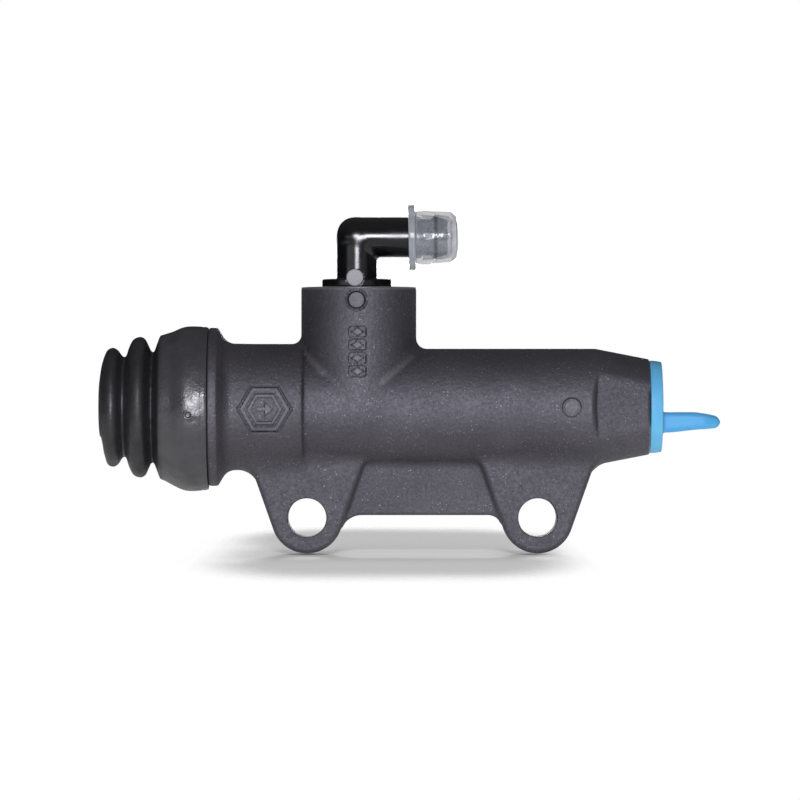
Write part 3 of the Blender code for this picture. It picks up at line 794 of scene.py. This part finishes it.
def elbow(x, y, z):
    from_port = np.hypot(x - PORT_X, y)
    from_spigot = np.hypot(y, z - SPIGOT_Z)
    corner = (PORT_X, 0, SPIGOT_Z)
    upright = segment_distance(x, y, z, corner, (PORT_X, 0, BOSS_TOP)) - PIPE_R
    level = meet(np.maximum(from_spigot - PIPE_R, x + 4.0), PORT_X - PIPE_R - x, 3.7)
    crook = np.clip((x - PORT_X + SPIGOT_Z - z) / PIPE_R, 0, 1)
    pipe = join(upright, level, 0.2 + 0.7 * crook)
    solid = join(pipe, STEM(z, from_port), 0.35)
    solid = np.minimum(solid, SPIGOT(x, from_spigot))
    from_pin = np.hypot(x - PIN_X, z - PIN_Z)
    pin_hole = np.maximum(from_pin - PIN_R - 0.05, y + 3.6)
    below = segment_distance(x, y, z, corner, (PORT_X, 0, 20.0))
    beyond = segment_distance(x, y, z, corner, (20.0, 0, SPIGOT_Z))
    passage = np.minimum(below, beyond) - PASSAGE_R
    return np.maximum(solid, -np.minimum(passage, pin_hole))


def moulded(name, solid, low, high, cell):
    """A mesh object of a solid between two corners."""
    obj = piece(name, *surface(solid, low, high, cell))
    shade_exactly(obj.data, solid)
    return obj


def index_pin():
    length = PIN_HIGH[1] - PIN_LOW[1]
    shoulder = length - 0.06  # its end is a little domed
    side = [(0, 0, 0), (0, PIN_R, 0.15), (shoulder, PIN_R, 0.3), (shoulder, PIN_R - 0.5, 0)]
    return turn("index_pin", rounded(side) + [(length, 0)], PIN_SEGMENTS, on_pin)


# ------------------------ cap and plug


def cap_section():
    """Brim, mouth, a lip inside that grips the spigot, and a dished end."""
    outside = rounded([
        (-3.0, 4.85, 0.15), (-3.0, 7.05, 0.25), (-1.5, 7.1, 0.3), (-1.35, 5.6, 0.3),
        (0.4, 5.9, 1.5), (2.2, 5.65, 1.5), (6.3, 5.45, 0.5), (7.5, 4.4, 0.35),
        (7.72, 3.4, 0.3), (7.25, 3.0, 0.3), (7.25, 0, 0),
    ])
    inside = rounded([
        (6.7, 0, 0), (6.7, 3.5, 0.4), (6.0, 4.55, 0.4), (3.3, 4.95, 0.3),
        (2.75, 5.05, 0.1), (2.55, 4.72, 0.1), (-0.6, 4.72, 0.2),
    ])
    return outside + inside


def cap_warp(points):
    """Short grip ribs inside the cap's mouth."""
    along, side, up = points[:, 0], points[:, 1], points[:, 2] - SPIGOT_Z
    radius, angle = np.hypot(side, up), np.arctan2(side, up)
    inner = (radius > 4.5) & (radius < 4.95) & (along < 0.5)
    scale = 1 + np.where(inner, 0.022 * (1 + np.cos(22 * angle)), 0)
    return np.stack([along, side * scale, SPIGOT_Z + up * scale], 1)


def coil_spring():
    """The return spring, with one close coil at each end."""
    low, high = node_box("return_spring")
    wire_r, turns, steps, sides = 0.7, 9, 40, 12  # steps to a turn, sides round the wire
    coil_r = high[1] - wire_r
    turn_at = np.linspace(0, turns, turns * steps + 1)
    close = 2 * wire_r + 0.35
    pitch = (high[0] - low[0] - 2 * wire_r - 2 * close) / (turns - 2)
    along = low[0] + wire_r + close * (np.minimum(turn_at, 1) + np.maximum(turn_at - turns + 1, 0))
    along += pitch * np.clip(turn_at - 1, 0, turns - 2)
    angle = 2 * math.pi * turn_at
    out = np.stack([0 * angle, np.sin(angle), np.cos(angle)], 1)
    middle = np.stack([along, 0 * angle, 0 * angle + AXIS_Z], 1) + coil_r * out
    ahead = np.gradient(middle, axis=0)
    aside = np.cross(ahead / np.linalg.norm(ahead, axis=1)[:, None], out)
    points = []
    for k in range(sides):
        around = 2 * math.pi * k / sides
        points.append(middle + wire_r * (math.cos(around) * out + math.sin(around) * aside))
    points = np.stack(points, 1).reshape(-1, 3)
    faces = [list(range(sides)), list(range(len(points) - 1, len(points) - sides - 1, -1))]
    for ring in range(0, len(points) - sides, sides):
        for k in range(sides):
            j = (k + 1) % sides
            faces.append([ring + k, ring + sides + k, ring + sides + j, ring + j])
    obj = piece("coil_spring", points, [])
    finish_mesh(obj, points, faces)
    return obj


def shorten_with_piston(spring):
    """Gives the spring a mesh of its own."""
    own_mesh(spring)


def spigot_cap():
    obj = turn("transport_cap", cap_section(), CAP_SEGMENTS, on_spigot, warp=cap_warp)
    points = read_points(obj.data)
    along, radius = points[:, 0], np.hypot(points[:, 1], points[:, 2] - SPIGOT_Z)
    brim = smooth_step((-1.1 - along) / 0.3)
    end = smooth_step((along - 6.2) / 0.4) * smooth_step((radius - 3.0) / 0.8)
    write_attribute(obj.data, "thick", np.maximum(brim, 0.62 * end))
    return obj


def plug_tab(x, y, z):
    """The pull tab: nearly flat on top, thicker at its root, drooping a little to a round tip."""
    reach = np.clip((x - PLUG_FACE) / (PLUG_HIGH[0] - PLUG_FACE), 0, 1)
    top = 22.85 - 1.35 * smooth_step((reach - 0.5) / 0.75)
    bottom = 18.4 + 0.75 * smooth_step(reach / 0.75) + 0.3 * smooth_step((reach - 0.7) / 0.3)
    half = 3.3 - 0.3 * reach - 0.9 * smooth_step((reach - 0.7) / 0.3)
    flat = meet(np.abs(z - (top + bottom) / 2) - (top - bottom) / 2, np.abs(y) - half, 1.2)
    return meet(flat, x - PLUG_HIGH[0] + 0.02, 1.35)


PLUG = Turned(rounded([
    (43.5, 0, 0), (43.5, 3.8, 0.6), (BODY_RIGHT + 0.05, 4.25, 0.1),
    (BODY_RIGHT + 0.05, 10.05, 0.15), (50.3, 10.05, 0.3), (52.0, 9.8, 0.3),
    (52.1, 8.3, 0.15), (51.7, 8.0, 0.15), (51.75, 7.2, 0.15),
    (52.2, 6.9, 0.15), (52.35, 0, 0),
]))


def plug(x, y, z):
    tab = np.maximum(plug_tab(x, y, z), 51.0 - x)
    return join(PLUG(x, np.hypot(y, z - AXIS_Z)), tab, 0.55)


# ------------------------ materials


def set_range(node, *numbers):
    """Sets a Map Range node's four limits."""
    for key, number in zip(("From Min", "From Max", "To Min", "To Max"), numbers):
        node.inputs[key].default_value = number


class Finish:
    """A material whose nodes are made one line at a time."""

    def __init__(self, name, **values):
        self.material = bpy.data.materials.new(name)
        self.material.use_nodes = True
        self.tree = self.material.node_tree
        self.shader = self.tree.nodes["Principled BSDF"]
        for key, value in values.items():
            self.shader.inputs[key.replace("_", " ")].default_value = value
        self.place = self.node("TexCoord").outputs["Object"]

    def link(self, source, target):
        if hasattr(source, "links"):
            self.tree.links.new(source, target)
        else:
            target.default_value = source

    def set(self, socket, source):
        self.link(source, self.shader.inputs[socket])

    def node(self, kind, **inputs):
        """A new node, with these inputs set or linked."""
        node = self.tree.nodes.new("ShaderNode" + kind)
        for key, source in inputs.items():
            self.link(source, node.inputs[key])
        return node

    def stretched(self, x, y, z):
        return self.node("Mapping", Scale=(x, y, z), Vector=self.place).outputs["Vector"]

    def noise(self, per_mm, detail=2.0, rough=0.5, place=None):
        place = place or self.place
        node = self.node("TexNoise", Scale=per_mm / MM, Detail=detail, Roughness=rough, Vector=place)
        return node.outputs["Fac"]

    def specks(self, per_mm, size, share):
        """1 inside small round specks, in this share of the cells."""
        node = self.node("TexVoronoi", Scale=per_mm / MM, Vector=self.place)
        dot = self.span(node.outputs["Distance"], size, size * 0.5)
        chosen = self.node("SeparateColor", Color=node.outputs["Color"])
        return self.times(dot, self.maths("LESS_THAN", chosen.outputs["Red"], share))

    def along(self):
        """The point's place along the bore, in millimetres."""
        return self.times(self.node("SeparateXYZ", Vector=self.place).outputs["X"], 1 / MM)

    def attribute(self, name):
        node = self.node("Attribute")
        node.attribute_name = name
        return node.outputs["Fac"]

    def span(self, value, low, high, to_low=0.0, to_high=1.0):
        """Maps low..high to to_low..to_high, and holds it there."""
        node = self.node("MapRange", Value=value)
        set_range(node, low, high, to_low, to_high)
        return node.outputs["Result"]

    def maths(self, operation, a, b=0.0):
        node = self.node("Math")
        node.operation = operation
        self.link(a, node.inputs[0])
        self.link(b, node.inputs[1])
        return node.outputs[0]

    def times(self, a, b):
        return self.maths("MULTIPLY", a, b)

    def mix(self, amount, a, b):
        node = self.node("Mix")
        node.data_type = "RGBA"
        self.link(amount, node.inputs["Factor"])
        colours = [s for s in node.inputs if s.type == "RGBA"]
        self.link((*a, 1.0) if isinstance(a, tuple) else a, colours[0])
        self.link((*b, 1.0) if isinstance(b, tuple) else b, colours[1])
        return next(s for s in node.outputs if s.type == "RGBA")

    def mottle(self, pattern, dark, light, rough):
        """Lets a pattern vary the colour and the roughness."""
        self.set("Base Color", self.mix(self.span(pattern, 0.3, 0.7), dark, light))
        self.set("Roughness", self.span(pattern, 0.3, 0.7, *rough))

    def bump(self, height, depth_mm, under=None):
        node = self.node("Bump", Distance=depth_mm * MM, Height=height)
        if under:
            self.link(under, node.inputs["Normal"])
        return node.outputs["Normal"]


def cast_finish():
    """Dark grey coated casting: sand texture, pale flecks in clusters, a machined top to the boss, and shade
    painted into its corners and creases.
    """
    f = Finish("dark_coated_casting", Metallic=0.94)
    cloud = f.noise(0.1, 3)
    grain = f.noise(1.7, 4, 0.7)
    colour = f.mix(f.span(cloud, 0.35, 0.65), (0.165, 0.159, 0.179), (0.195, 0.188, 0.21))
    colour = f.mix(f.span(grain, 0.3, 0.7, 0.0, 0.4), colour, (0.09, 0.087, 0.098))
    # painted shade: corners, creases and recesses darkened nearly to black
    colour = f.mix(f.times(f.attribute("painted_corner_shade"), 0.9), colour, (0.016, 0.015, 0.018))
    clusters = f.span(f.noise(0.22, 2), 0.4, 0.58)
    colour = f.mix(f.times(f.specks(1.5, 0.3, 0.3), 0.45), colour, (0.07, 0.068, 0.077))
    flecks = f.times(f.specks(1.9, 0.22, 0.42), clusters)
    flecks = f.maths("MAXIMUM", flecks, f.specks(0.75, 0.12, 0.17))
    colour = f.mix(f.times(flecks, 0.82), colour, (0.62, 0.61, 0.64))
    colour = f.mix(f.times(f.attribute("raised"), 0.3), colour, (0.34, 0.33, 0.36))
    bare = f.times(f.attribute("machined"), f.span(f.noise(2.2, 3), 0.3, 0.45, 0.75, 1.0))
    f.set("Base Color", f.mix(bare, colour, (0.74, 0.73, 0.75)))
    duller = f.times(f.attribute("flat"), 0.065)
    rough = f.maths("ADD", f.span(grain, 0.3, 0.7, 0.58, 0.72), duller)
    f.set("Roughness", f.maths("SUBTRACT", rough, f.times(bare, 0.28)))
    depth = f.maths("SUBTRACT", 1.0, f.times(f.attribute("machined"), 0.85))
    pits = f.bump(f.times(f.noise(0.9, 3, 0.6), depth), 0.11)
    f.set("Normal", f.bump(f.times(grain, depth), 0.07, pits))
    return f.material


def rubber_finish():
    """Black moulded rubber with a grey bloom, cloudy gloss and a little dust."""
    f = Finish("moulded_rubber")
    cloud = f.noise(0.16, 4, 0.6)
    fine = f.noise(2.5, 3, 0.6)
    colour = f.mix(f.span(cloud, 0.38, 0.64), (0.009, 0.0089, 0.0096), (0.021, 0.0207, 0.0235))
    taut = f.span(f.along(), *COLLAR_START)  # the collar, where the rubber is stretched
    bloom = f.times(taut, f.span(cloud, 0.35, 0.65, 0.45, 0.9))
    colour = f.mix(bloom, colour, (0.052, 0.051, 0.057))
    colour = f.mix(f.times(f.specks(1.1, 0.12, 0.12), 0.4), colour, (0.25, 0.25, 0.26))
    f.set("Base Color", colour)
    rough = f.maths("ADD", f.span(cloud, 0.36, 0.62, 0.12, -0.1), f.span(fine, 0.3, 0.7, 0.45, 0.55))
    f.set("Roughness", f.maths("SUBTRACT", rough, f.times(taut, 0.15)))
    f.set("Specular IOR Level", f.maths("ADD", 0.7, f.times(taut, 0.3)))
    f.set("Normal", f.bump(fine, 0.035, f.bump(f.noise(0.35, 3, 0.6), 0.2)))
    return f.material


def seal_finish():
    f = Finish("seal_rubber")
    fine = f.noise(3.0, 3, 0.6)
    f.mottle(fine, (0.016, 0.016, 0.016), (0.03, 0.03, 0.031), (0.3, 0.45))
    f.set("Normal", f.bump(fine, 0.01))
    return f.material


def black_plastic_finish():
    """Glossy black nylon with faint flow marks."""
    f = Finish("glossy_black_plastic", Specular_IOR_Level=0.7)
    flow = f.noise(0.35, 2)
    fine = f.noise(2.0, 3)
    f.set("Base Color", f.mix(f.span(fine, 0.3, 0.7), (0.003, 0.003, 0.0035), (0.006, 0.006, 0.007)))
    f.set("Roughness", f.span(flow, 0.3, 0.7, 0.18, 0.27))
    f.set("Normal", f.bump(fine, 0.007))
    return f.material


def clear_plastic_finish():
    """Cloudy clear plastic: see-through where it is thin, milky where it is thick, with a shadow painted
    as a dark line at the ledge inside, where the spigot's barb edge shades it."""
    f = Finish("cloudy_clear_plastic", Specular_IOR_Level=0.75)
    flow = f.noise(0.6, 3, 0.6)
    thick = f.attribute("thick")
    colour = f.mix(f.span(flow, 0.3, 0.7), (0.44, 0.475, 0.51), (0.62, 0.66, 0.71))
    # painted shadow: a dark band along the ledge inside the cap, standing in for the shade of the spigot's barb
    # edge
    from_ledge = f.maths("ABSOLUTE", f.maths("SUBTRACT", f.along(), CAP_LEDGE))
    colour = f.mix(f.span(from_ledge, 0.1, 0.6, 0.7, 0.0), colour, (0.1, 0.11, 0.125))
    f.set("Base Color", f.mix(thick, colour, (0.54, 0.58, 0.62)))
    f.set("IOR", f.maths("SUBTRACT", 1.85, f.times(thick, 0.45)))
    f.set("Alpha", f.maths("ADD", f.span(flow, 0.3, 0.7, 0.3, 0.42), f.times(thick, 0.34)))
    f.set("Roughness", f.span(flow, 0.3, 0.7, 0.08, 0.18))
    f.set("Normal", f.bump(flow, 0.06))
    return f.material


def blue_plastic_finish():
    """Soft blue polyethylene, a little deeper in the tab."""
    f = Finish(
        "soft_blue_plastic", Subsurface_Weight=0.45, Subsurface_Scale=0.004, Specular_IOR_Level=0.35
    )
    cloud = f.noise(0.25, 3)
    fine = f.noise(2.2, 3, 0.6)
    colour = f.mix(f.span(cloud, 0.3, 0.7), (0.155, 0.58, 1.0), (0.185, 0.64, 1.0))
    tab = f.span(f.along(), PLUG_FACE - 0.3, PLUG_FACE + 1.2)
    f.set("Base Color", f.mix(f.times(tab, 0.8), colour, (0.1, 0.49, 0.88)))
    f.set("Roughness", f.span(fine, 0.3, 0.7, 0.36, 0.5))
    f.set("Normal", f.bump(fine, 0.02))
    return f.material


def metal_finish(name, light, dark, rough):
    """Bare metal with fine lines along the bore."""
    f = Finish(name, Metallic=1.0)
    lines = f.noise(1.4, 3, 0.6, f.stretched(3.0, 1.0, 1.0))
    f.mottle(lines, dark, light, rough)
    f.set("Normal", f.bump(lines, 0.01))
    return f.material


def steel_finish():
    return metal_finish("bright_steel", (0.62, 0.61, 0.64), (0.42, 0.41, 0.44), (0.28, 0.42))


def piston_finish():
    return metal_finish("anodised_piston", (0.5, 0.47, 0.42), (0.36, 0.34, 0.3), (0.3, 0.45))


def pin_finish():
    """Dull zinc on the pin's end."""
    f = Finish("dull_zinc")
    fine = f.noise(1.5, 3)
    f.mottle(fine, (0.39, 0.384, 0.412), (0.48, 0.47, 0.504), (0.45, 0.6))
    f.set("Normal", f.bump(fine, 0.02))
    return f.material


def seat_finish():
    f = Finish("moulded_white_plastic")
    fine = f.noise(1.5, 3)
    f.mottle(fine, (0.68, 0.66, 0.6), (0.78, 0.77, 0.72), (0.35, 0.5))
    return f.material


def floor_finish():
    """Pale paper that, for the camera, fades into the white room round a patch shaped like the object's soft
    shadow: a painted shadow outline, filled with the floor's dim lamp-lit grey.
    """
    f = Finish("pale_floor", Roughness=1.0, Specular_IOR_Level=0.0)
    seen = f.node("LightPath").outputs["Is Camera Ray"]
    f.set("Base Color", f.mix(seen, (0.76, 0.76, 0.76), (0.82, 0.82, 0.82)))
    # painted shadow outline: past the patch's fade the camera sees the white room instead of the floor
    faded = f.times(seen, f.maths("SUBTRACT", 1.0, f.attribute("sheet")))
    f.set("Alpha", f.maths("SUBTRACT", 1.0, faded))
    return f.material


# ------------------------ putting it together


def dress(obj, material, body, slot, *nodes):
    """Finishes a piece, ties it to its body and hides the CAD nodes it stands for."""
    obj.data.materials.clear()
    obj.data.materials.append(material)
    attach(obj, body)
    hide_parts(*nodes)
    return obj


def repaint(node, material):
    """Gives a CAD node that is shown as it is a better material."""
    for slot in frame["nodes"][node].material_slots:
        slot.material = material


def build_pieces():
    """Makes every piece, and returns the two that have lights of their own."""
    seal, steel = seal_finish(), steel_finish()
    dress(cylinder_body(), cast_finish(), "root", "black_casting", "cylinder_body")
    boot = dress(dust_boot(), rubber_finish(), "root", "boot_rubber", "dust_boot")
    fitting = moulded("elbow", elbow, ELBOW_LOW, ELBOW_HIGH, ELBOW_CELL)
    dress(fitting, black_plastic_finish(), "elbow", "black_plastic", "elbow_fitting")
    dress(index_pin(), pin_finish(), "elbow", "bright_steel", "elbow_index_pin")
    dress(spigot_cap(), clear_plastic_finish(), "spigot_cap", "clear_plastic", "spigot_cap")
    plug_piece = moulded("transport_plug", plug, PLUG_LOW, PLUG_HIGH, PLUG_CELL)
    dress(plug_piece, blue_plastic_finish(), "outlet_plug", "blue_plastic", "outlet_plug")
    for node in ("secondary_seal", "primary_cup", "elbow_o_ring"):
        repaint(node, seal)
    shorten_with_piston(dress(coil_spring(), steel, "root", "bright_steel", "return_spring"))
    for node in ("circlip", "stop_washer", "cup_shim", "elbow_snap_ring"):
        repaint(node, steel)
    repaint("piston", piston_finish())
    repaint("spring_seat", seat_finish())
    return fitting, boot


# ------------------------ camera, floor and light

LAMP_AIM = (0, 0, 0.025)
LAMP_COLOUR = (0.985, 0.975, 1.06)

# The floor's seen part, whose faded edge paints the outline of the object's soft shadow, is a rounded block, in
# millimetres, that fades over its edge
SEEN_MIDDLE, SEEN_HALF = (-6.5, 40.0), 15.8
SEEN_DEPTH, SEEN_BACK_HALF = 5.6, 16.0  # depths count for 1 / 5.6, because the camera looks along them
SEEN_ROUND, SEEN_FADE = 20.0, 15.0


def set_camera():
    """Straight on from the front, from 1.25 m, level with the bore."""
    camera = bpy.data.objects.new("camera", bpy.data.cameras.new("camera"))
    camera.location = (-0.00483, -1.25, 0.0255)
    camera.rotation_euler = (math.pi / 2, 0, 0)
    camera.data.sensor_width = 36.0
    camera.data.lens = 258.5
    camera.data.clip_start, camera.data.clip_end = 0.05, 30
    bpy.context.scene.collection.objects.link(camera)
    bpy.context.scene.camera = camera


def add_floor():
    """A pale sheet under the object, seen only in a rounded patch round its shadow: the patch's faded edge paints
    the outline of a soft shadow, and its dim lamp-lit grey fills it. The room past it is white.
    """
    along, back = np.linspace(-240, 240, 121), np.linspace(-260, 600, 87)
    x, y = (grid.ravel() for grid in np.meshgrid(along, back))
    points = np.stack([x, y, np.full(len(x), CAD_BOX[0][2] / MM - 0.3)], 1)
    first = (np.arange(len(back) - 1)[:, None] * len(along) + np.arange(len(along) - 1)).ravel()
    faces = first[:, None] + np.array([0, 1, len(along) + 1, len(along)])
    floor = piece("floor", points, faces)
    aside = np.maximum(np.abs(x - SEEN_MIDDLE[0]) - SEEN_HALF, 0)
    behind = np.maximum(np.abs(y - SEEN_MIDDLE[1]) / SEEN_DEPTH - SEEN_BACK_HALF, 0)
    # painted shadow outline: how much of the floor the camera sees, fading out round the shadow's shape
    seen = smooth_step(0.5 + (SEEN_ROUND - np.hypot(aside, behind)) / SEEN_FADE)
    write_attribute(floor.data, "sheet", seen)
    floor.data.materials.append(floor_finish())
    return floor


def area_light(name, place, width, height, power):
    """A soft cool lamp that shines at the object's middle."""
    lamp = bpy.data.lights.new(name, "AREA")
    lamp.shape = "RECTANGLE"
    lamp.size, lamp.size_y = width, height
    lamp.energy = power
    lamp.color = LAMP_COLOUR
    obj = bpy.data.objects.new(name, lamp)
    obj.location = place
    obj.rotation_euler = (Vector(LAMP_AIM) - Vector(place)).to_track_quat("-Z", "Y").to_euler()
    bpy.context.scene.collection.objects.link(obj)
    return obj


def set_world():
    """White to the camera. For light, the room is almost dark, and a little brighter overhead."""
    world = bpy.data.worlds.new("studio")
    bpy.context.scene.world = world
    world.use_nodes = True
    tree = world.node_tree
    tree.nodes.clear()
    add = tree.nodes.new
    place, split = add("ShaderNodeTexCoord"), add("ShaderNodeSeparateXYZ")
    up = add("ShaderNodeMapRange")
    set_range(up, 0.0, 0.9, 0.012, 0.16)
    room, white = add("ShaderNodeBackground"), add("ShaderNodeBackground")
    path, mix = add("ShaderNodeLightPath"), add("ShaderNodeMixShader")
    out = add("ShaderNodeOutputWorld")
    link = tree.links.new
    link(place.outputs["Generated"], split.inputs[0])
    link(split.outputs["Z"], up.inputs["Value"])
    link(up.outputs["Result"], room.inputs["Strength"])
    link(path.outputs["Is Camera Ray"], mix.inputs["Fac"])
    link(room.outputs[0], mix.inputs[1])
    link(white.outputs[0], mix.inputs[2])
    link(mix.outputs[0], out.inputs["Surface"])
    white.inputs["Color"].default_value = (1, 1, 1, 1)


def sun(name, elevation, heading, spread, power):
    """A distant lamp, with its angles in degrees. Heading 0 is from the camera's side."""
    lamp = bpy.data.lights.new(name, "SUN")
    lamp.energy, lamp.angle = power, math.radians(spread)
    obj = bpy.data.objects.new(name, lamp)
    obj.rotation_euler = (math.radians(90 - elevation), 0, math.radians(heading))
    bpy.context.scene.collection.objects.link(obj)
    return obj


def light_all_but(lamp, left_out):
    """Makes a lamp light everything except these objects."""
    objects = bpy.data.collections.new(lamp.name + "_leaves_out")
    for obj in left_out:
        objects.objects.link(obj)
    lamp.light_linking.receiver_collection = objects
    for link in objects.collection_objects:
        link.light_linking.link_state = "EXCLUDE"


def light_only(lamp, obj):
    """Makes a lamp light one object and nothing else."""
    only = bpy.data.collections.new(f"lit_by_{lamp.name}")
    only.objects.link(obj)
    lamp.light_linking.receiver_collection = only


def set_lights(floor, fitting, boot):
    """A soft key light just above the camera, a weak one behind, one more for the boot, dim strips for
    the glossy elbow, and low lights for the floor alone, which shape its shadow."""
    light_all_but(area_light("front", (0.0, -1.15, 0.19), 0.34, 0.3, 7.6), [floor])
    light_all_but(area_light("behind", (0.0, 1.15, 0.09), 0.34, 0.2, 4.5), [floor, boot])
    light_only(area_light("boot_front", (-0.02, -1.15, 0.17), 0.3, 0.42, 3.2), boot)
    for width in (0.5, 0.75, 1.0):
        for side, power in ((-1, 0.27), (1, 0.11)):
            place = (side * 0.75, -0.95, 0.07)
            light_only(area_light(f"strip_{side * width}", place, width, 0.14, power), fitting)
    for side, heading, elevation, power in (("front", 0, 11, 3.5), ("behind", 180, 14, 2.75)):
        light_only(sun(f"floor_{side}", elevation, heading, 7, power), floor)
        light_only(sun(f"floor_{side}_above", 50, heading, 45, 0.58), floor)
    light_only(sun("floor_above", 90, 0, 60, 0.15), floor)
    bpy.context.scene.view_settings.view_transform = "Standard"


set_camera()
set_world()
set_lights(add_floor(), *build_pieces())
